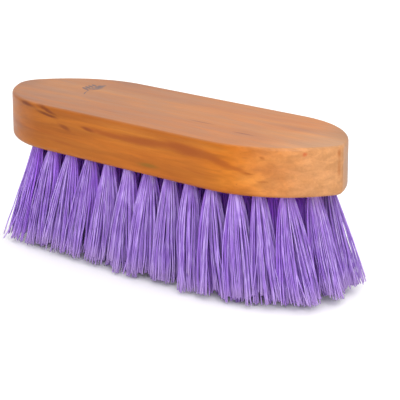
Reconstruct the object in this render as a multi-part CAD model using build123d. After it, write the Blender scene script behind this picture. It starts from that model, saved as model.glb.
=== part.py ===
"""Oval dandy brush: a drilled wooden back filled with tufts of stiff synthetic bristle.

Frame: +X along the back, +Z up. The bristle tips rest on z = 0 and the back lies above them,
with the origin under the middle of the back. Sizes are in millimetres.
"""
import os
from math import acos, atan2, copysign, cos, hypot, sin

from build123d import *

# Wooden back: straight sides, a large arc to each end, and a small nose. The right nose is
# nearly sharp and the left one is rounder.
BACK_LENGTH = 200.0
BACK_WIDTH = 66.6
BACK_THICKNESS = 21.8
SIDE_LENGTH = 104.4
RIGHT_NOSE_RADIUS = 2.0
LEFT_NOSE_RADIUS = 12.0
NOSE_FLAT = 1.0
TOP_EDGE_RADIUS = 1.5
LOWER_EDGE_RADIUS = 2.2

# Bristle: folded double in each hole and trimmed level below the back.
BRISTLE_LENGTH = 48.5
HOLE_DIAMETER = 5.4
HOLE_DEPTH = 12.5
FLARE_START = 1.5
TIP_DIAMETER = 13.4
TIP_GAP = 0.3

# Drilling pattern: a rim row that follows the outline, an inner row inside it, a middle row.
# Columns run along the straight sides, and the last rim tufts step round each end.
COLUMN_PITCH = 12.6
RIM_INSET = 6.6
END_WALK = 41.0
END_SHARES = (0.24, 0.57)
NOSE_INSET = 13.0
INNER_END_STEP = 6.0
INNER_END_SHARE = 0.78
INNER_NOSE_STEP = 12.0

# Beyond the last column the holes are drawn in, and further in at the left end than the right:
# first by a share of the distance past the last column, then by a share of the width.
LEFT_END_DRAW = (0.65, 0.79)
RIGHT_END_DRAW = (0.88, 0.90)

# Lean of a tuft: its tip moves outward by this share of its distance from the middle, and past
# the last column at the right end it leans out further.
SPLAY_ALONG = 0.12
SPLAY_ACROSS = 0.20
RIGHT_END_SPLAY = 0.15

# Flat wire anchor inside the fold of each tuft. Its ends bite into the wood.
ANCHOR_BITE = 0.9
ANCHOR_WIDTH = 2.2
ANCHOR_THICKNESS = 0.4
ANCHOR_RISE = 1.6

# Values worked out from the sizes above.
HALF_LENGTH = BACK_LENGTH / 2
HALF_WIDTH = BACK_WIDTH / 2
HALF_SIDE = SIDE_LENGTH / 2
NOSE_Y = NOSE_FLAT / 2


def end_run(nose_radius):
    """Distance along the back from the end of the straight side to the centre of the nose."""
    return HALF_LENGTH - nose_radius - HALF_SIDE


def end_radius(nose_radius):
    """Radius of the large arc that runs on from the straight side and into the nose."""
    drop = HALF_WIDTH - NOSE_Y
    return (end_run(nose_radius)**2 + drop**2 - nose_radius**2) / (2 * (drop - nose_radius))


# The rim row follows the right end. Both ends are then drawn in from it.
END_RADIUS = end_radius(RIGHT_NOSE_RADIUS)
END_CENTRE_Y = HALF_WIDTH - END_RADIUS
RIM_RADIUS = END_RADIUS - RIM_INSET
RIM_WALK = HALF_SIDE + RIM_RADIUS * acos(-END_CENTRE_Y / RIM_RADIUS)
COLUMNS = round((RIM_WALK - END_WALK) / COLUMN_PITCH)
LAST_COLUMN = COLUMNS * COLUMN_PITCH
INNER_ROW_Y = (HALF_WIDTH - RIM_INSET) / 2
NOSE_TUFT_X = HALF_LENGTH - NOSE_INSET

UPWARD = (Align.CENTER, Align.CENTER, Align.MIN)


def half_outline(nose_radius):
    """Right half of the outline, drawn as one quarter and mirrored."""
    radius = end_radius(nose_radius)
    centre_y = HALF_WIDTH - radius
    swing = atan2(end_run(nose_radius), NOSE_Y - centre_y)
    end_x = HALF_SIDE + radius * sin(swing)
    end_y = centre_y + radius * cos(swing)
    side = Line((0, HALF_WIDTH), (HALF_SIDE, HALF_WIDTH))
    end = TangentArc((HALF_SIDE, HALF_WIDTH), (end_x, end_y), tangent=(1, 0))
    nose = TangentArc((end_x, end_y), (HALF_LENGTH, NOSE_Y), tangent=(cos(swing), -sin(swing)))
    flat = Line((HALF_LENGTH, NOSE_Y), (HALF_LENGTH, 0))
    quarter = side + end + nose + flat
    return quarter + mirror(quarter, Plane.XZ)


def back_outline():
    """Closed outline of the back."""
    left = mirror(half_outline(LEFT_NOSE_RADIUS), Plane.YZ)
    return make_face(half_outline(RIGHT_NOSE_RADIUS) + left)


def solid_back():
    """The back before drilling, with its top and lower edges rounded."""
    block = Pos(0, 0, BRISTLE_LENGTH) * extrude(back_outline(), BACK_THICKNESS)
    top_edges = block.faces().sort_by(Axis.Z)[-1].edges()
    block = fillet(top_edges, TOP_EDGE_RADIUS)
    lower_edges = block.faces().sort_by(Axis.Z)[0].edges()
    return fillet(lower_edges, LOWER_EDGE_RADIUS)


def rim_point(walk):
    """Place on the rim row, by the distance walked from the middle of a long side."""
    if walk <= HALF_SIDE:
        return walk, HALF_WIDTH - RIM_INSET
    swing = (walk - HALF_SIDE) / RIM_RADIUS
    return HALF_SIDE + RIM_RADIUS * sin(swing), END_CENTRE_Y + RIM_RADIUS * cos(swing)


def past_columns(x):
    """Signed distance past the last column, which is zero between the two last columns."""
    return copysign(max(abs(x) - LAST_COLUMN, 0), x)


def drawn_in(x, y):
    """Pull a place beyond the last column inward."""
    beyond = past_columns(x)
    if beyond == 0:
        return x, y
    reach, spread = RIGHT_END_DRAW if beyond > 0 else LEFT_END_DRAW
    return x - beyond * (1 - reach), y * spread


def rim_places():
    """Rim row, once round from the left end along the front, to the right end and back."""
    past_last = RIM_WALK - LAST_COLUMN
    walks = [column * COLUMN_PITCH for column in range(1, COLUMNS + 1)]
    walks += [LAST_COLUMN + share * past_last for share in END_SHARES]
    right = [rim_point(walk) for walk in walks]
    left = [(-x, y) for x, y in reversed(right)]
    side = left + [rim_point(0)] + right
    front = [(x, -y) for x, y in side]
    back = list(reversed(side))
    places = front + [(NOSE_TUFT_X, 0)] + back + [(-NOSE_TUFT_X, 0)]
    return [drawn_in(x, y) for x, y in places]


def inner_pair_places():
    """Distances along and out from the middle line, one for each matching inner pair."""
    right = [((column + 0.5) * COLUMN_PITCH, INNER_ROW_Y) for column in range(COLUMNS)]
    right.append((LAST_COLUMN + INNER_END_STEP, INNER_ROW_Y * INNER_END_SHARE))
    left = [(-x, y) for x, y in reversed(right)]
    return [drawn_in(x, y) for x, y in left + right]


def middle_places():
    """Middle row, with one tuft more beyond the last column at each end."""
    inner_nose_x = NOSE_TUFT_X - INNER_NOSE_STEP
    columns = [column * COLUMN_PITCH for column in range(-COLUMNS, COLUMNS + 1)]
    return [drawn_in(x, 0) for x in [-inner_nose_x] + columns + [inner_nose_x]]


def tip_of(place):
    """Where the axis of the tuft at this place meets the level of the tips."""
    x, y = place
    lean = x * SPLAY_ALONG + max(past_columns(x), 0) * RIGHT_END_SPLAY
    return x + lean, y * (1 + SPLAY_ACROSS)


def tip_radius(place, places):
    """Half the tip diameter, or less where the nearest tuft leaves less room.

    A leaning tuft is cut on a slant by the level of the tips, which makes it longer there.
    """
    x, y = tip_of(place)
    others = [tip_of(other) for other in places if other != place]
    nearest = min(hypot(x - other_x, y - other_y) for other_x, other_y in others)
    lean = hypot(x - place[0], y - place[1]) / BRISTLE_LENGTH
    room = (nearest - TIP_GAP) / hypot(1, lean)
    return min(TIP_DIAMETER, room) / 2


def tuft_location(place):
    """Location at the bottom of the hole, with +Z along the hole and out of the wood."""
    mouth = Vector(*place, BRISTLE_LENGTH)
    axis = (Vector(*tip_of(place), 0) - mouth).normalized()
    return Plane(mouth - axis * HOLE_DEPTH, x_dir=(1, 0, 0), z_dir=axis).location


def drill(place):
    """Solid that drills the hole, running out past the face of the wood."""
    return tuft_location(place) * Cylinder(HOLE_DIAMETER / 2, HOLE_DEPTH * 2, align=UPWARD)


def anchor(place):
    """Flat wire across the hole and the back, standing on edge a little above the bottom."""
    length = HOLE_DIAMETER + 2 * ANCHOR_BITE
    strip = Box(ANCHOR_THICKNESS, length, ANCHOR_WIDTH, align=UPWARD)
    return tuft_location(place) * Pos(0, 0, ANCHOR_RISE) * strip


def tuft(place, places):
    """One bunch of bristle: a root that fills its hole, then a flare trimmed level."""
    root_length = HOLE_DEPTH + FLARE_START
    reach = (Vector(*tip_of(place), 0) - Vector(*place, BRISTLE_LENGTH)).length
    flare_length = reach - FLARE_START
    root_radius = HOLE_DIAMETER / 2
    growth = tip_radius(place, places) / root_radius
    overrun = 1.25
    far_radius = root_radius * (1 + (growth - 1) * overrun)
    root = Cylinder(root_radius, root_length, align=UPWARD)
    flare = Cone(root_radius, far_radius, flare_length * overrun, align=UPWARD)
    bunch = tuft_location(place) * (root + Pos(0, 0, root_length) * flare)
    above_tips = Box(2 * BACK_LENGTH, 2 * BACK_LENGTH, 2 * BRISTLE_LENGTH, align=UPWARD)
    return (bunch & above_tips) - anchor(place)


def build_nodes():
    """All pieces of the brush, by name."""
    rim = rim_places()
    pairs = inner_pair_places()
    middle = middle_places()
    places = rim + middle
    for x, y in pairs:
        places += [(x, -y), (x, y)]
    anchors = [anchor(place) for place in places]
    nodes = {
        "wooden_back": solid_back() - [drill(place) for place in places] - anchors,
        "tuft_anchors": Compound(anchors),
    }
    for number, place in enumerate(rim, 1):
        nodes[f"rim_tuft_{number:02d}"] = tuft(place, places)
    for number, (x, y) in enumerate(pairs, 1):
        pair = [tuft((x, -y), places), tuft((x, y), places)]
        nodes[f"inner_tuft_pair_{number:02d}"] = Compound(pair)
    for number, place in enumerate(middle, 1):
        nodes[f"middle_tuft_{number:02d}"] = tuft(place, places)
    return nodes


os.makedirs("parts", exist_ok=True)
for name, piece in build_nodes().items():
    export_step(piece, f"parts/{name}.step")
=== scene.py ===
from math import cos, pi, radians, sin

import bpy
import numpy as np
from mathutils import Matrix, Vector


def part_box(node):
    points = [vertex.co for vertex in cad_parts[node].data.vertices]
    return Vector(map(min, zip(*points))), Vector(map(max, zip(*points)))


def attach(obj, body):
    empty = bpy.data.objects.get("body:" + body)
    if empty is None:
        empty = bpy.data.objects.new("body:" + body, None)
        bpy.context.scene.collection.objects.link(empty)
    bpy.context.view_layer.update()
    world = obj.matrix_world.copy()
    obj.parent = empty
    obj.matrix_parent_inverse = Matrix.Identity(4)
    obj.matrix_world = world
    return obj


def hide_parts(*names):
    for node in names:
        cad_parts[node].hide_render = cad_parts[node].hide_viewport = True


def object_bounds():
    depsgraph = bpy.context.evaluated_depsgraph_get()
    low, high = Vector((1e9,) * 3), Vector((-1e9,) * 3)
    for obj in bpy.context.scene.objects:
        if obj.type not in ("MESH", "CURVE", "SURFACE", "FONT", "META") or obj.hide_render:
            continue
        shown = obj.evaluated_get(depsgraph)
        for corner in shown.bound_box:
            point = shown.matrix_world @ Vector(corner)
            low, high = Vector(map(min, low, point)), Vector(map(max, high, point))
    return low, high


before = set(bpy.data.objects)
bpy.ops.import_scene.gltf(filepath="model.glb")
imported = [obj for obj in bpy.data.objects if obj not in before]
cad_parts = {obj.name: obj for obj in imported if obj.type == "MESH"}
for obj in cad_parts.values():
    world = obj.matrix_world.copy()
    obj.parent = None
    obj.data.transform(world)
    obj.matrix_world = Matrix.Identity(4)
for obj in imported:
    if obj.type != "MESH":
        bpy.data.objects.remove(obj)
cad_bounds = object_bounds()

MM = 0.001

# Camera: its direction in degrees and its distance from the middle of the wooden back, its lens
# and sensor in millimetres, and how far to the right and below the middle it aims.
CAMERA_AZIMUTH = 44.14
CAMERA_ELEVATION = 13.32
CAMERA_DISTANCE = 780 * MM
CAMERA_LENS = 152.6
CAMERA_SENSOR = 36
AIM_RIGHT = 13.22 * MM
AIM_DOWN = 30.8 * MM

# Studio: name, azimuth, elevation, strength and spread of each distant light, with its angles in
# degrees. Then a square light near the right end, the sky and the floor, in metres and watts.
SUNS = [
    ("key", 47, 38, 1.15, 40),
    ("fill", 30, 14, 0.75, 80),
    ("overhead", 200, 75, 0.95, 60),
]
BOX_AZIMUTH = 54
BOX_ELEVATION = 30
BOX_DISTANCE = 0.5
BOX_SIZE = 0.35
BOX_WATTS = 0.52
SKY_STRENGTH = 0.80
FLOOR_HALF = 12.0
FLOOR_WHITE = (0.93, 0.93, 0.93)

# Bristle: many round filaments in each tuft, gathered into strands towards their tips.
FILAMENTS = 130
FILAMENT_RADIUS = 0.27 * MM
FILAMENT_SIDES = 5
FILAMENT_RINGS = 14
HOLE_RADIUS = 2.7 * MM
ROOT_DEPTH = 3.0 * MM
ROOT_INSET = 1.2 * FILAMENT_RADIUS
STRANDS = 15
STRAND_PULL = 0.50
GOLDEN_ANGLE = pi * (3 - 5**0.5)

# Height of the part of a CAD tuft next to the wood that is measured to find its axis.
WAIST = 4 * MM

# Fan of a tuft, as shares of the radius of its tip in the CAD, and its random twist in radians.
FAN_WIDTH = 1.15
FAN_SCATTER = 0.20
FAN_TWIST = 0.20

# Random bends at the tip, then the share of strays and how much further they bend.
FILAMENT_BEND = 0.8 * MM
TUFT_BEND = 0.5 * MM
STRAND_BEND = 0.7 * MM
STRAY_SHARE = 0.06
STRAY_BEND = 3.0

# Uneven trimming, as shares of the length.
FILAMENT_CUT = 0.025
STRAND_CUT = 0.050

# Ripple along a filament: its size, waves in its length, and a finer ripple on top of it.
RIPPLE_SIZE = 0.32 * MM
RIPPLE_WAVES = (0.7, 2.0)
FINE_RIPPLE_SIZE = 0.35
FINE_RIPPLE_WAVES = 2.4

# Lean of a filament: the share of it that grows towards the tip, and how much is kept of the rise
# that leaning over brings.
LEAN_CURVE = 0.25
TIP_RISE = 0.8

# Painted light in the shade: deep purple painted where other filaments shade a filament, standing in
# for the light that has passed through them. The share of the length over which inner tufts show it,
# then its strength, fade and edge on the inner side of a rim tuft.
DEEP_SHARE = 0.65
RIM_DEPTH = 0.40
RIM_FADE = 0.5
INSIDE_START = 0.35

# Each filament takes a strip of the map, with this share of it left free on each side.
STRIP_MARGIN = 0.08

# Bristle colours: dark to pale filaments with their place on the scale, the tips, and the painted
# light in the shaded depths.
BRISTLE_TONES = [
    (0.15, (0.255, 0.130, 0.50)),
    (0.50, (0.325, 0.190, 0.58)),
    (0.85, (0.450, 0.315, 0.69)),
]
BRISTLE_TIP = (0.44, 0.31, 0.58)
BRISTLE_PAINTED_SHADE_PURPLE = (0.40, 0.060, 1.0)

# Colours of the drawn wire.
WIRE_TONES = [(0.3, (0.40, 0.39, 0.37)), (0.7, (0.62, 0.61, 0.58))]

# Wood colours: dark to pale with their place on the scale, then the right end, partly paler wood and
# partly painted light, the painted sheen of the top, and flecks.
WOOD_TONES = [
    (0.30, (0.325, 0.084, 0.005)),
    (0.46, (0.385, 0.110, 0.008)),
    (0.60, (0.430, 0.136, 0.013)),
    (0.76, (0.470, 0.172, 0.026)),
]
PALER_WOOD_AND_PAINTED_LIGHT = (0.48, 0.240, 0.105)
PAINTED_TOP_SHEEN = (0.58, 0.36, 0.20)
FLECK = (0.20, 0.055, 0.012)

# Texture scales along X, Y and Z, in features for each metre. A small X makes long grain. The
# shifts keep one texture from lining up with another.
BROAD_SCALE = (9, 45, 90)
BROAD_SHIFT = (3, 1, 7)
STREAK_SCALE = (24, 190, 330)
STREAK_SHIFT = (5, 2, 1)
FIBRE_SCALE = (60, 1000, 1000)
FLECK_SCALE = (210, 2100, 2100)
UNEVEN_SCALE = (90, 220, 150)
UNEVEN_SHIFT = (2, 6, 3)
WANDER_SCALE = (70, 240, 240)
WEAR_SCALE = (700, 700, 700)
PATCH_SCALE = (420, 420, 170)
WIRE_SCALE = (200, 6000, 6000)

# Growth rings about a slightly tilted axis that runs below the back and behind it.
RING_SCALE = (0.10, 1, 1)
RING_AXIS = (0, -0.050, 0.030)
RING_TILT = (0, radians(0.6), radians(0.8))
RING_COUNT = 60.0

# Pale right end, partly paler wood and partly painted light where the end faces the lamps: where it
# starts and is full, as shares of the half length, then how strong it is and how far its edge wavers.
PALE_START = 0.69
PALE_FULL = 1.13
PALE_STRENGTH = 0.92
PALE_WAVER = 12 * MM

# How far the edges of the figure and of the painted shade on the ends wander along X, Y and Z.
WANDER_REACH = (8 * MM, 1.2 * MM, 1.5 * MM)
FIGURE_AND_SHADE_SOFTNESS = 0.8

# Figure in the wood, and painted shade on the two ends that turn from the lamps: centre, reach and
# turn about the Y axis, in millimetres and degrees with heights from the lower face, then how strong
# it is and its colour.
SEPIA = (0.15, 0.032, 0.004)
UMBER = (0.19, 0.040, 0.004)
RUSSET = (0.265, 0.060, 0.006)
OLIVE = (0.20, 0.085, 0.006)
CRIMSON = (0.42, 0.055, 0.012)
LEFT_END_PAINTED_SHADE = (0.13, 0.032, 0.004)
RIGHT_END_PAINTED_SHADE = (0.20, 0.078, 0.018)
FIGURE_AND_PAINTED_SHADE = [
    ((-63, -31.5, 20.5), (11, 6, 1.4), 3, 1.00, SEPIA),
    ((-47.5, -33.3, 20.0), (10, 5, 1.2), 13, 1.00, SEPIA),
    ((-47.5, -33.3, 17.9), (10.5, 5, 1.1), 7, 1.00, SEPIA),
    ((-35.5, -33.3, 13.5), (6.5, 5, 1.7), 13, 0.80, UMBER),
    ((-20, -33.3, 15.1), (6.5, 5, 1.2), 6, 0.95, UMBER),
    ((-8, -33.3, 15.0), (18, 5, 1.8), 2, 0.75, RUSSET),
    ((14, -33.3, 15.3), (26, 6, 2.9), -2, 0.90, RUSSET),
    ((40, -33.3, 16.2), (23, 8, 3.6), 2, 0.95, RUSSET),
    ((60, -32, 13.8), (13, 8, 2.6), 14, 0.75, RUSSET),
    ((70, -30, 11.2), (8, 8, 1.5), 22, 0.45, RUSSET),
    ((0, -33.3, 21.0), (75, 3, 3.6), 0, 0.50, RUSSET),
    ((18, -33.3, 5.0), (10, 5, 1.5), 0, 0.80, OLIVE),
    ((-38, -33.3, 6.3), (11, 5, 0.8), 4, 0.50, RUSSET),
    ((-50, -33.3, 9.5), (9, 5, 0.7), 6, 0.40, RUSSET),
    ((45, -33.3, 7.5), (14, 5, 0.8), 3, 0.35, RUSSET),
    # Painted shade on the left end, whose side turns away from the lamps.
    ((-98, -4, 8), (22, 36, 19), 0, 0.90, LEFT_END_PAINTED_SHADE),
    # Painted shade on the end face past the right nose, which turns away from the lamps.
    ((100, 24, 9), (32, 30, 34), 0, 0.85, RIGHT_END_PAINTED_SHADE),
    ((78.4, -26.3, 17.3), (3.2, 4, 1.0), 8, 0.45, UMBER),
    ((91.5, -15.6, 19.0), (2.2, 3, 1.4), 0, 0.80, CRIMSON),
    ((100, -1.6, 18.5), (2.6, 1.5, 3.0), 0, 0.55, RUSSET),
    ((100, -1.4, 12), (2, 1.2, 6), 0, 0.40, RUSSET),
    ((73, -29, 10.4), (3.5, 4, 0.6), 10, 0.40, UMBER),
    ((78.5, -26.2, 7.0), (2.8, 3, 0.7), 0, 0.40, UMBER),
    ((56, -12.6, 21.8), (8.5, 1.0, 2), 0, 0.80, UMBER),
    ((-19.7, -20.9, 21.8), (8, 0.8, 2), 0, 0.45, RUSSET),
    ((28, -8.5, 21.8), (11, 1.0, 2), 0, 0.60, UMBER),
    ((-46, -14, 21.8), (10, 0.8, 2), 0, 0.35, RUSSET),
]

# Printed sprig on the top, near the left end: a stem across the back, with pairs of leaves. Sizes
# are in millimetres and degrees, and places on the stem are shares of half its length. Leaves get
# shorter along it: their share of LEAF_LENGTH at its middle, and what they lose by its end.
MARK_CENTRE = (-60.5, 6.0)
MARK_TURN = 115
MARK_STEM = 22.0
STEM_BEND = 1.5
STEM_PARTS = 4
STEM_WIDTH = 0.40
LEAF_LENGTH = 3.6
LEAF_WIDTH = 1.10
LEAF_PAIRS = 4
LEAF_ANGLE = 42
STEM_OVERLAP = 1.24
LEAF_START = -0.175
LEAF_SPACING = 0.275
LEAF_MIDDLE = 1.1
LEAF_TAPER = 0.4
MARK_SOFTNESS = 0.35
INK = (0.070, 0.040, 0.050)


def add_node(tree, kind, **settings):
    """New shader node, with its plain settings given by name."""
    node = tree.nodes.new(kind)
    for name, value in settings.items():
        setattr(node, name, value)
    return node


def socket(tree, node, name, value):
    """Fill one input with a constant, or link it to another node's output."""
    if isinstance(value, bpy.types.NodeSocket):
        tree.links.new(value, node.inputs[name])
    else:
        node.inputs[name].default_value = value


def math_node(tree, operation, first, second):
    """Sum, product or the like of two values."""
    node = add_node(tree, "ShaderNodeMath", operation=operation)
    socket(tree, node, 0, first)
    socket(tree, node, 1, second)
    return node.outputs[0]


def mix_colour(tree, factor, first, second, blend="MIX"):
    """First colour with a share of the second one, which may be a plain colour or a tone."""
    if isinstance(second, tuple):
        second = (*second, 1)
    node = add_node(tree, "ShaderNodeMix", data_type="RGBA", blend_type=blend)
    socket(tree, node, 0, factor)
    socket(tree, node, 6, first)
    socket(tree, node, 7, second)
    return node.outputs[2]


def stretched(tree, coordinates, scale, location=(0, 0, 0), rotation=(0, 0, 0)):
    """Coordinates scaled along each axis, to draw a texture out along the grain."""
    node = add_node(tree, "ShaderNodeMapping", vector_type="POINT")
    socket(tree, node, "Vector", coordinates)
    socket(tree, node, "Location", location)
    socket(tree, node, "Rotation", rotation)
    socket(tree, node, "Scale", scale)
    return node.outputs[0]


def noise(tree, coordinates, detail=3.0, roughness=0.5, distortion=0.0):
    """Noise texture at the scale of its coordinates."""
    node = add_node(tree, "ShaderNodeTexNoise")
    socket(tree, node, "Vector", coordinates)
    socket(tree, node, "Scale", 1.0)
    socket(tree, node, "Detail", detail)
    socket(tree, node, "Roughness", roughness)
    socket(tree, node, "Distortion", distortion)
    return node


def remap(tree, value, low, high, new_low=0.0, new_high=1.0):
    """Value carried smoothly from one range to another, and held at its ends."""
    node = add_node(tree, "ShaderNodeMapRange", interpolation_type="SMOOTHSTEP")
    for name, item in enumerate((value, low, high, new_low, new_high)):
        socket(tree, node, name, item)
    return node.outputs[0]


def toned(tree, colour, strength, value, low, high, tone_low, tone_high):
    """Colour multiplied by a tone that follows a value."""
    tone = remap(tree, value, low, high, tone_low, tone_high)
    return mix_colour(tree, strength, colour, tone, "MULTIPLY")


def ramp(tree, factor, stops):
    """Colour from a row of stops."""
    node = add_node(tree, "ShaderNodeValToRGB")
    socket(tree, node, 0, factor)
    elements = node.color_ramp.elements
    while len(elements) < len(stops):
        elements.new(0.5)
    for element, (position, colour) in zip(elements, stops):
        element.position = position
        element.color = (*colour, 1)
    return node.outputs[0]


def blot(tree, coordinates, centre, reach, turn, soft):
    """Soft ellipsoid in space: 1 inside, fading to 0 at its reach along each axis, in metres."""
    node = add_node(tree, "ShaderNodeMapping", vector_type="TEXTURE")
    socket(tree, node, "Vector", coordinates)
    socket(tree, node, "Location", centre)
    socket(tree, node, "Rotation", turn)
    socket(tree, node, "Scale", reach)
    length = add_node(tree, "ShaderNodeVectorMath", operation="LENGTH")
    socket(tree, length, 0, node.outputs[0])
    return remap(tree, length.outputs["Value"], 1.0, 1.0 - soft)


def new_material(name):
    """New material with its node tree and its shader."""
    material = bpy.data.materials.new(name)
    material.use_nodes = True
    tree = material.node_tree
    return material, tree, tree.nodes["Principled BSDF"]


def object_place(tree):
    """Place on the object, in metres."""
    return add_node(tree, "ShaderNodeTexCoord").outputs["Object"]


def part_of(tree, vector, axis):
    """One part of a vector."""
    node = add_node(tree, "ShaderNodeSeparateXYZ")
    socket(tree, node, 0, vector)
    return node.outputs[axis]


def sprig_shapes():
    """Ellipses of the sprig with its stem along X: centre, half length, half width and turn."""
    half_stem = MARK_STEM / 2
    part_length = half_stem * STEM_OVERLAP / STEM_PARTS
    shapes = []
    for part in range(STEM_PARTS):
        share = 2 * (part + 0.5) / STEM_PARTS - 1
        slope = -2 * STEM_BEND * share / half_stem
        shapes.append((share * half_stem, -STEM_BEND * share**2, part_length, STEM_WIDTH, slope))
    for pair in range(LEAF_PAIRS):
        share = LEAF_START + LEAF_SPACING * pair
        length = LEAF_LENGTH * (LEAF_MIDDLE - LEAF_TAPER * share)
        for angle in (-radians(LEAF_ANGLE), radians(LEAF_ANGLE)):
            leaf_x = share * half_stem + length * cos(angle)
            leaf_y = -STEM_BEND * share**2 + length * sin(angle)
            shapes.append((leaf_x, leaf_y, length, LEAF_WIDTH, angle))
    return shapes


def sprig_mask(tree, place, top_z):
    """Ink of the printed sprig on the top face."""
    turn = radians(MARK_TURN)
    mask = 0.0
    for along, across, length, width, angle in sprig_shapes():
        x = MARK_CENTRE[0] + along * cos(turn) - across * sin(turn)
        y = MARK_CENTRE[1] + along * sin(turn) + across * cos(turn)
        centre = (x * MM, y * MM, top_z)
        reach = (length * MM, width * MM, MM)
        shape = blot(tree, place, centre, reach, (0, 0, turn + angle), MARK_SOFTNESS)
        mask = math_node(tree, "MAXIMUM", mask, shape)
    return mask


def wandering(tree, place):
    """Coordinates pushed about a little, so that the figure and the painted shade have uneven edges.
    """
    wander = noise(tree, stretched(tree, place, WANDER_SCALE), detail=4.0)
    centred = add_node(tree, "ShaderNodeVectorMath", operation="SUBTRACT")
    socket(tree, centred, 0, wander.outputs["Color"])
    socket(tree, centred, 1, (0.5, 0.5, 0.5))
    shift = add_node(tree, "ShaderNodeVectorMath", operation="MULTIPLY_ADD")
    socket(tree, shift, 0, centred.outputs[0])
    socket(tree, shift, 1, WANDER_REACH)
    socket(tree, shift, 2, place)
    return shift.outputs[0]


def heartwood_and_painted_light(tree, place, low, high):
    """Broad bands of colour, with painted light: darker towards the left end and lighter towards the
    right, and a pale right end that is partly paler wood and partly painted light.
    """
    broad = noise(tree, stretched(tree, place, BROAD_SCALE, BROAD_SHIFT), 3.0, 0.55, 0.5).outputs[0]
    colour = ramp(tree, broad, WOOD_TONES)
    along = part_of(tree, place, "X")
    # Painted light: the wood is darkened towards the left end and lightened towards the right, as the
    # lamps fall on it.
    colour = toned(tree, colour, 1.0, along, low.x, high.x, 0.86, 1.14)
    # Pale right end: partly paler wood and partly painted light on the end that faces the lamps.
    uneven = noise(tree, stretched(tree, place, UNEVEN_SCALE, UNEVEN_SHIFT), 4.0, 0.6).outputs[0]
    wavering = math_node(tree, "ADD", along, math_node(tree, "MULTIPLY", uneven, PALE_WAVER))
    pale = remap(tree, wavering, high.x * PALE_START, high.x * PALE_FULL, 0.0, PALE_STRENGTH)
    return mix_colour(tree, pale, colour, PALER_WOOD_AND_PAINTED_LIGHT)


def with_rings(tree, place, colour):
    """Growth rings over a colour."""
    rings = add_node(
        tree, "ShaderNodeTexWave",
        wave_type="RINGS", rings_direction="X", wave_profile="SIN",
    )
    socket(tree, rings, "Vector", stretched(tree, place, RING_SCALE, RING_AXIS, RING_TILT))
    socket(tree, rings, "Scale", RING_COUNT)
    socket(tree, rings, "Distortion", 6.0)
    socket(tree, rings, "Detail", 3.0)
    socket(tree, rings, "Detail Scale", 0.7)
    return toned(tree, colour, 0.28, rings.outputs["Fac"], 0.1, 0.9, 1.06, 0.86)


def with_figure_and_painted_shade(tree, place, face_z, colour):
    """Dark streaks and stains, and painted shade on the two ends, over a colour."""
    pushed = wandering(tree, place)
    for centre, reach, turn, strength, tint in FIGURE_AND_PAINTED_SHADE:
        spot = (centre[0] * MM, centre[1] * MM, face_z + centre[2] * MM)
        size = tuple(value * MM for value in reach)
        mask = blot(tree, pushed, spot, size, (0, radians(turn), 0), FIGURE_AND_SHADE_SOFTNESS)
        mask = math_node(tree, "MULTIPLY", mask, strength)
        colour = mix_colour(tree, mask, colour, tint)
    return colour


def with_mark(tree, place, top_z, colour):
    """Worn print of the sprig over a colour."""
    mark = sprig_mask(tree, place, top_z)
    speckle = noise(tree, stretched(tree, place, WEAR_SCALE), 2.0).outputs[0]
    wear = remap(tree, speckle, 0.3, 0.6, 0.65, 0.95)
    return mix_colour(tree, math_node(tree, "MULTIPLY", mark, wear), colour, INK)


def wood_material(low, high):
    """Orange-brown lacquered hardwood with its grain along X."""
    material, tree, shader = new_material("lacquered_wood")
    place = object_place(tree)
    streak = noise(tree, stretched(tree, place, STREAK_SCALE, STREAK_SHIFT), 4.0, 0.6, 0.6).outputs[0]
    fibre = noise(tree, stretched(tree, place, FIBRE_SCALE), 4.0, 0.6).outputs[0]
    fleck = noise(tree, stretched(tree, place, FLECK_SCALE), 2.0, 0.5).outputs[0]
    fleck_mask = remap(tree, fleck, 0.66, 0.74, 0.0, 0.4)
    upward = part_of(tree, add_node(tree, "ShaderNodeNewGeometry").outputs["Normal"], "Z")

    colour = with_rings(tree, place, heartwood_and_painted_light(tree, place, low, high))
    colour = toned(tree, colour, 0.75, streak, 0.34, 0.66, 0.82, 1.10)
    colour = toned(tree, colour, 0.55, fibre, 0.3, 0.7, 0.90, 1.08)
    colour = mix_colour(tree, fleck_mask, colour, FLECK)
    # Painted sheen: the top is made a little paler, for the reflection it shows at low angles.
    colour = mix_colour(tree, remap(tree, upward, 0.5, 0.95, 0.0, 0.08), colour, PAINTED_TOP_SHEEN)
    # Stains and streaks, and painted shade on the two ends.
    colour = with_figure_and_painted_shade(tree, place, low.z, colour)
    colour = with_mark(tree, place, high.z, colour)
    socket(tree, shader, "Base Color", colour)

    bump = add_node(tree, "ShaderNodeBump")
    socket(tree, bump, "Strength", 0.10)
    socket(tree, bump, "Distance", 0.15 * MM)
    socket(tree, bump, "Height", math_node(tree, "SUBTRACT", fibre, fleck_mask))
    socket(tree, shader, "Normal", bump.outputs[0])
    socket(tree, shader, "Roughness", remap(tree, streak, 0.3, 0.7, 0.36, 0.46))
    socket(tree, shader, "IOR", 1.5)
    socket(tree, shader, "Specular IOR Level", 0.13)
    socket(tree, shader, "Coat Weight", remap(tree, upward, 0.1, 0.7, 0.03, 0.24))
    socket(tree, shader, "Coat Roughness", 0.20)
    return material


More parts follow.
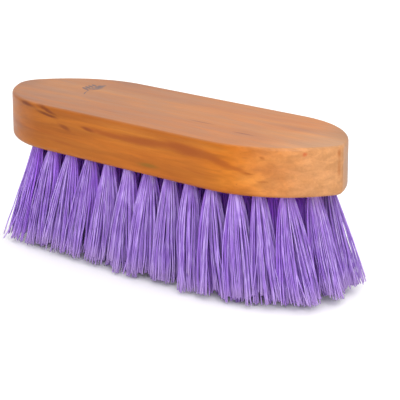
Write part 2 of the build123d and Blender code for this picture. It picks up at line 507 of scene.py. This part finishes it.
def bristle_material():
    """Purple extruded filament.

    tone is one number per filament, along runs from root to tip, and depth is 1 where other
    filaments stand all round. There a deep purple is painted on, as painted light in the shade that
    stands in for the light that has passed through purple plastic.
    """
    material, tree, shader = new_material("bristle_filament")
    tone, along, depth = (
        add_node(tree, "ShaderNodeAttribute", attribute_name=name).outputs["Fac"]
        for name in ("tone", "along", "depth")
    )
    patch = noise(tree, stretched(tree, object_place(tree), PATCH_SCALE), 3.0).outputs[0]
    both = math_node(tree, "ADD", tone, remap(tree, patch, 0.3, 0.7))
    colour = ramp(tree, math_node(tree, "MULTIPLY", both, 0.5), BRISTLE_TONES)
    colour = mix_colour(tree, remap(tree, along, 0.80, 1.0, 0.0, 0.55), colour, BRISTLE_TIP)
    # Painted light in the shade: deep purple where other filaments shade these, for light passed
    # through plastic.
    colour = mix_colour(tree, math_node(tree, "MULTIPLY", depth, 0.95), colour, BRISTLE_PAINTED_SHADE_PURPLE)
    socket(tree, shader, "Base Color", colour)
    socket(tree, shader, "Roughness", 0.50)
    socket(tree, shader, "IOR", 1.49)
    socket(tree, shader, "Specular IOR Level", 0.12)
    return material


def anchor_material():
    """Drawn flat wire, with fine lines along the strip."""
    material, tree, shader = new_material("anchor_wire")
    lines = noise(tree, stretched(tree, object_place(tree), WIRE_SCALE), 2.0).outputs[0]
    socket(tree, shader, "Base Color", ramp(tree, lines, WIRE_TONES))
    socket(tree, shader, "Metallic", 1.0)
    socket(tree, shader, "Roughness", 0.38)
    return material


def floor_material():
    """Matt white paper."""
    material, tree, shader = new_material("floor_white")
    socket(tree, shader, "Base Color", (*FLOOR_WHITE, 1))
    socket(tree, shader, "Roughness", 0.9)
    return material


def tuft_axes(node, face_z):
    """Mouth, tip centre and tip radius of each tuft in a CAD node.

    A pair node holds one tuft at the front and its match at the back.
    """
    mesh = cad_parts[node].data
    points = np.array([vertex.co for vertex in mesh.vertices])
    sides = [points]
    if "pair" in node:
        sides = [points[points[:, 1] < 0], points[points[:, 1] > 0]]
    axes = []
    for side in sides:
        level = side[side[:, 2] < 0.01 * MM]
        waist = side[(side[:, 2] > face_z - WAIST) & (side[:, 2] < face_z)]
        tip = (level.min(0) + level.max(0)) / 2
        neck = (waist.min(0) + waist.max(0)) / 2
        mouth = neck + (neck - tip) * (face_z - neck[2]) / (neck[2] - tip[2])
        axes.append((mouth[:2], tip[:2], np.ptp(level[:, 1]) / 2))
    return axes


def tuft_disc(rng):
    """Filaments spread evenly over a disc of radius 1, from its middle outward."""
    count = np.arange(FILAMENTS) + 0.5
    angle = count * GOLDEN_ANGLE + rng.uniform(0, 2 * pi)
    return np.sqrt(count / FILAMENTS)[:, None] * np.stack([np.cos(angle), np.sin(angle)], 1)


def tuft_fan(disc, tip_radius, rng):
    """Where the filaments of a disc end, from the middle of the tip."""
    twist = rng.normal(0, FAN_TWIST)
    turn = np.array([[cos(twist), -sin(twist)], [sin(twist), cos(twist)]])
    return (disc * FAN_WIDTH + rng.normal(0, FAN_SCATTER, disc.shape)) @ turn * tip_radius


def filament_bends(strand, rng):
    """Sideways shift of each tip, shared in part by its strand and its tuft."""
    bend = rng.normal(0, FILAMENT_BEND, (FILAMENTS, 2)) + rng.normal(0, TUFT_BEND, 2)
    bend += rng.normal(0, STRAND_BEND, (STRANDS, 2))[strand]
    stray = rng.random(FILAMENTS) < STRAY_SHARE
    bend[stray] *= STRAY_BEND
    return bend


def filament_cuts(strand, rng):
    """Length of each filament after trimming, as a share of the full length."""
    own = np.abs(rng.normal(0, FILAMENT_CUT, FILAMENTS))
    shared = np.abs(rng.normal(0, STRAND_CUT, STRANDS))[strand]
    return 1 - own - shared


def filament_ripple(out, rng):
    """Wave along each filament, which starts from nothing at the mouth of the hole."""
    phase = rng.uniform(0, 2 * pi, (FILAMENTS, 1, 2))
    waves = 2 * pi * rng.uniform(*RIPPLE_WAVES, (FILAMENTS, 1, 1)) * out
    coarse = np.sin(waves + phase) - np.sin(phase)
    fine = np.sin(FINE_RIPPLE_WAVES * waves + 3 * phase) - np.sin(3 * phase)
    return (coarse + FINE_RIPPLE_SIZE * fine) * RIPPLE_SIZE * out


def filament_paths(mouth, tip, tip_radius, face_z, rng):
    """Centre lines of one tuft's filaments, as an array of filament, ring and xyz.

    The second result is how far each filament is on the inner side of its tuft, from 0 to 1.
    """
    disc = tuft_disc(rng)
    root = disc * (HOLE_RADIUS - ROOT_INSET)
    fan = tuft_fan(disc, tip_radius, rng)
    leaders = rng.choice(FILAMENTS, STRANDS, replace=False)
    gaps = np.linalg.norm(fan[:, None] - fan[leaders][None], axis=2)
    strand = np.argmin(gaps, 1)
    pull = (fan[leaders][strand] - fan) * STRAND_PULL
    bend = filament_bends(strand, rng)
    cut = filament_cuts(strand, rng)

    start = -ROOT_DEPTH / face_z
    share = np.linspace(0, 1, FILAMENT_RINGS)[None, :]
    reach = (start + (cut[:, None] - start) * share)[..., None]
    out = np.clip(reach, 0, None)
    opening = out * (2.0 - out)
    lean = (tip - mouth) * reach * (1 - LEAN_CURVE + LEAN_CURVE * out)
    spread = root[:, None, :] * (1 - opening) + (fan[:, None, :] + pull[:, None, :] * out) * opening
    shift = lean + spread + bend[:, None, :] * out**2 + filament_ripple(out, rng)
    rise = TIP_RISE * (shift**2).sum(2, keepdims=True) * out / (2 * face_z)
    height = face_z * (1 - reach) + rise
    outward = (tip - mouth) / np.linalg.norm(tip - mouth)
    inside = np.clip(INSIDE_START - disc @ outward, 0, 1)
    return np.concatenate([mouth + shift, height], 2), inside


def tube_rings(paths):
    """Rings of points round each path, as an array of filament, ring, side and xyz."""
    forward = np.gradient(paths, axis=1)
    forward /= np.linalg.norm(forward, axis=2, keepdims=True)
    across = np.cross(forward, np.array([1.0, 0.0, 0.0]))
    across /= np.linalg.norm(across, axis=2, keepdims=True)
    other = np.cross(forward, across)
    angle = (np.arange(FILAMENT_SIDES) * 2 * pi / FILAMENT_SIDES)[:, None]
    ring = across[:, :, None] * np.cos(angle) + other[:, :, None] * np.sin(angle)
    return paths[:, :, None] + ring * FILAMENT_RADIUS


def tube_faces(first, left, width):
    """Side faces and end caps of one tube, and the place on the map of each of their corners.

    first is its first point, left the left edge of its strip and width the width of one side.
    """
    faces = []
    corners = []
    around = range(FILAMENT_SIDES)
    for ring in range(FILAMENT_RINGS - 1):
        low = ring / (FILAMENT_RINGS - 1)
        high = (ring + 1) / (FILAMENT_RINGS - 1)
        here = first + ring * FILAMENT_SIDES
        above = here + FILAMENT_SIDES
        for side in around:
            after = (side + 1) % FILAMENT_SIDES
            faces.append((here + side, here + after, above + after, above + side))
            near = left + side * width
            far = near + width
            corners += [(near, low), (far, low), (far, high), (near, high)]
    last = first + (FILAMENT_RINGS - 1) * FILAMENT_SIDES
    faces.append(tuple(first + side for side in reversed(around)))
    corners += [(left + side * width, 0.0) for side in reversed(around)]
    faces.append(tuple(last + side for side in around))
    corners += [(left + side * width, 1.0) for side in around]
    return faces, corners


def filament_mesh(name, paths):
    """Mesh of one tube along each path, with a strip of the map for each tube."""
    faces = []
    corners = []
    width = (1 - 2 * STRIP_MARGIN) / len(paths) / FILAMENT_SIDES
    for filament in range(len(paths)):
        first = filament * FILAMENT_RINGS * FILAMENT_SIDES
        left = (filament + STRIP_MARGIN) / len(paths)
        tube, places = tube_faces(first, left, width)
        faces += tube
        corners += places
    mesh = bpy.data.meshes.new(name)
    mesh.from_pydata(tube_rings(paths).reshape(-1, 3).tolist(), [], faces)
    mesh.uv_layers.new(name="OFBake").data.foreach_set("uv", np.array(corners).ravel())
    smooth = np.array([len(face) == 4 for face in faces])
    mesh.polygons.foreach_set("use_smooth", smooth)
    mesh.update()
    return mesh


def bristle_piece(node, material, face_z, rng):
    """The filaments of one CAD tuft node, as one piece that stands for it."""
    tufts = [filament_paths(*axis, face_z, rng) for axis in tuft_axes(node, face_z)]
    paths = np.concatenate([tuft[0] for tuft in tufts])
    inside = np.concatenate([tuft[1] for tuft in tufts])
    mesh = filament_mesh(node + "_bristle", paths)
    share = np.linspace(0, 1, FILAMENT_RINGS)
    # Painted light in the shade: how strongly the deep purple is painted, near the roots of inner
    # tufts and on the inner side of rim tufts.
    deep = np.clip(1 - share / DEEP_SHARE, 0, 1)[None, :]
    if node.startswith("rim"):
        deep = inside[:, None] * (1 - RIM_FADE * share)[None, :] * RIM_DEPTH
    values = {
        "tone": rng.random(len(paths))[:, None],
        "along": share[None, :],
        "depth": deep,
    }
    for name, value in values.items():
        rings = np.broadcast_to(value, (len(paths), FILAMENT_RINGS)).ravel()
        layer = mesh.attributes.new(name, "FLOAT", "POINT")
        layer.data.foreach_set("value", np.repeat(rings, FILAMENT_SIDES))
    mesh.materials.append(material)
    piece = bpy.data.objects.new(node + "_bristle", mesh)
    bpy.context.scene.collection.objects.link(piece)
    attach(piece, "root")
    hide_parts(node)


def set_material(node, material):
    """Give a CAD node that stays its finished material."""
    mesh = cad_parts[node].data
    mesh.materials.clear()
    mesh.materials.append(material)


def direction(azimuth, elevation):
    """Unit vector towards a place at these angles, in degrees. Azimuth 0 is the front."""
    azimuth, elevation = radians(azimuth), radians(elevation)
    return Vector((sin(azimuth) * cos(elevation), -cos(azimuth) * cos(elevation), sin(elevation)))


def facing(towards):
    """Turn of a camera or light that looks this way."""
    return towards.to_track_quat("-Z", "Y").to_euler()


def build_camera(centre):
    """Camera at the photographed angle, aimed a little off the middle of the back."""
    back = direction(CAMERA_AZIMUTH, CAMERA_ELEVATION)
    right = direction(CAMERA_AZIMUTH + 90, 0)
    up = back.cross(right)
    camera_data = bpy.data.cameras.new("camera")
    camera_data.lens = CAMERA_LENS
    camera_data.sensor_width = CAMERA_SENSOR
    camera_data.clip_start = 10 * MM
    camera = bpy.data.objects.new("camera", camera_data)
    camera.location = centre + back * CAMERA_DISTANCE
    target = centre + right * AIM_RIGHT - up * AIM_DOWN
    camera.rotation_euler = facing(target - camera.location)
    bpy.context.scene.collection.objects.link(camera)
    bpy.context.scene.camera = camera


def soft_sun(name, azimuth, elevation, strength, spread):
    """Wide distant light that shines down from this angle, as a big soft box far off does."""
    data = bpy.data.lights.new(name, "SUN")
    data.angle = radians(spread)
    data.energy = strength
    lamp = bpy.data.objects.new(name, data)
    lamp.rotation_euler = facing(-direction(azimuth, elevation))
    bpy.context.scene.collection.objects.link(lamp)


def right_box(centre):
    """Square light near the brush, facing it, which is strongest on the right end."""
    back = direction(BOX_AZIMUTH, BOX_ELEVATION)
    data = bpy.data.lights.new("right_box", "AREA")
    data.size = BOX_SIZE
    data.energy = BOX_WATTS
    lamp = bpy.data.objects.new("right_box", data)
    lamp.location = centre + back * BOX_DISTANCE
    lamp.rotation_euler = facing(-back)
    bpy.context.scene.collection.objects.link(lamp)


def build_floor(floor_z):
    """Plain pale floor."""
    corners = [(-1, -1), (1, -1), (1, 1), (-1, 1)]
    points = [(x * FLOOR_HALF, y * FLOOR_HALF, 0) for x, y in corners]
    mesh = bpy.data.meshes.new("floor")
    mesh.from_pydata(points, [], [(0, 1, 2, 3)])
    mesh.materials.append(floor_material())
    floor = bpy.data.objects.new("floor", mesh)
    floor.location = (0, 0, floor_z)
    bpy.context.scene.collection.objects.link(floor)


def build_light(centre):
    """Soft studio light under an even white sky."""
    world = bpy.data.worlds.new("studio")
    world.use_nodes = True
    background = world.node_tree.nodes["Background"]
    background.inputs["Color"].default_value = (1, 1, 1, 1)
    background.inputs["Strength"].default_value = SKY_STRENGTH
    bpy.context.scene.world = world
    for sun in SUNS:
        soft_sun(*sun)
    right_box(centre)
    bpy.context.scene.view_settings.view_transform = "Standard"


back_low, back_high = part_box("wooden_back")
back_centre = Vector((0, 0, (back_low.z + back_high.z) / 2))
build_camera(back_centre)
build_floor(cad_bounds[0][2])
build_light(back_centre)
set_material("wooden_back", wood_material(back_low, back_high))
set_material("tuft_anchors", anchor_material())
bristle = bristle_material()
rng = np.random.default_rng(2024)
for node in sorted(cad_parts):
    if "_tuft_" in node:
        bristle_piece(node, bristle, back_low.z, rng)
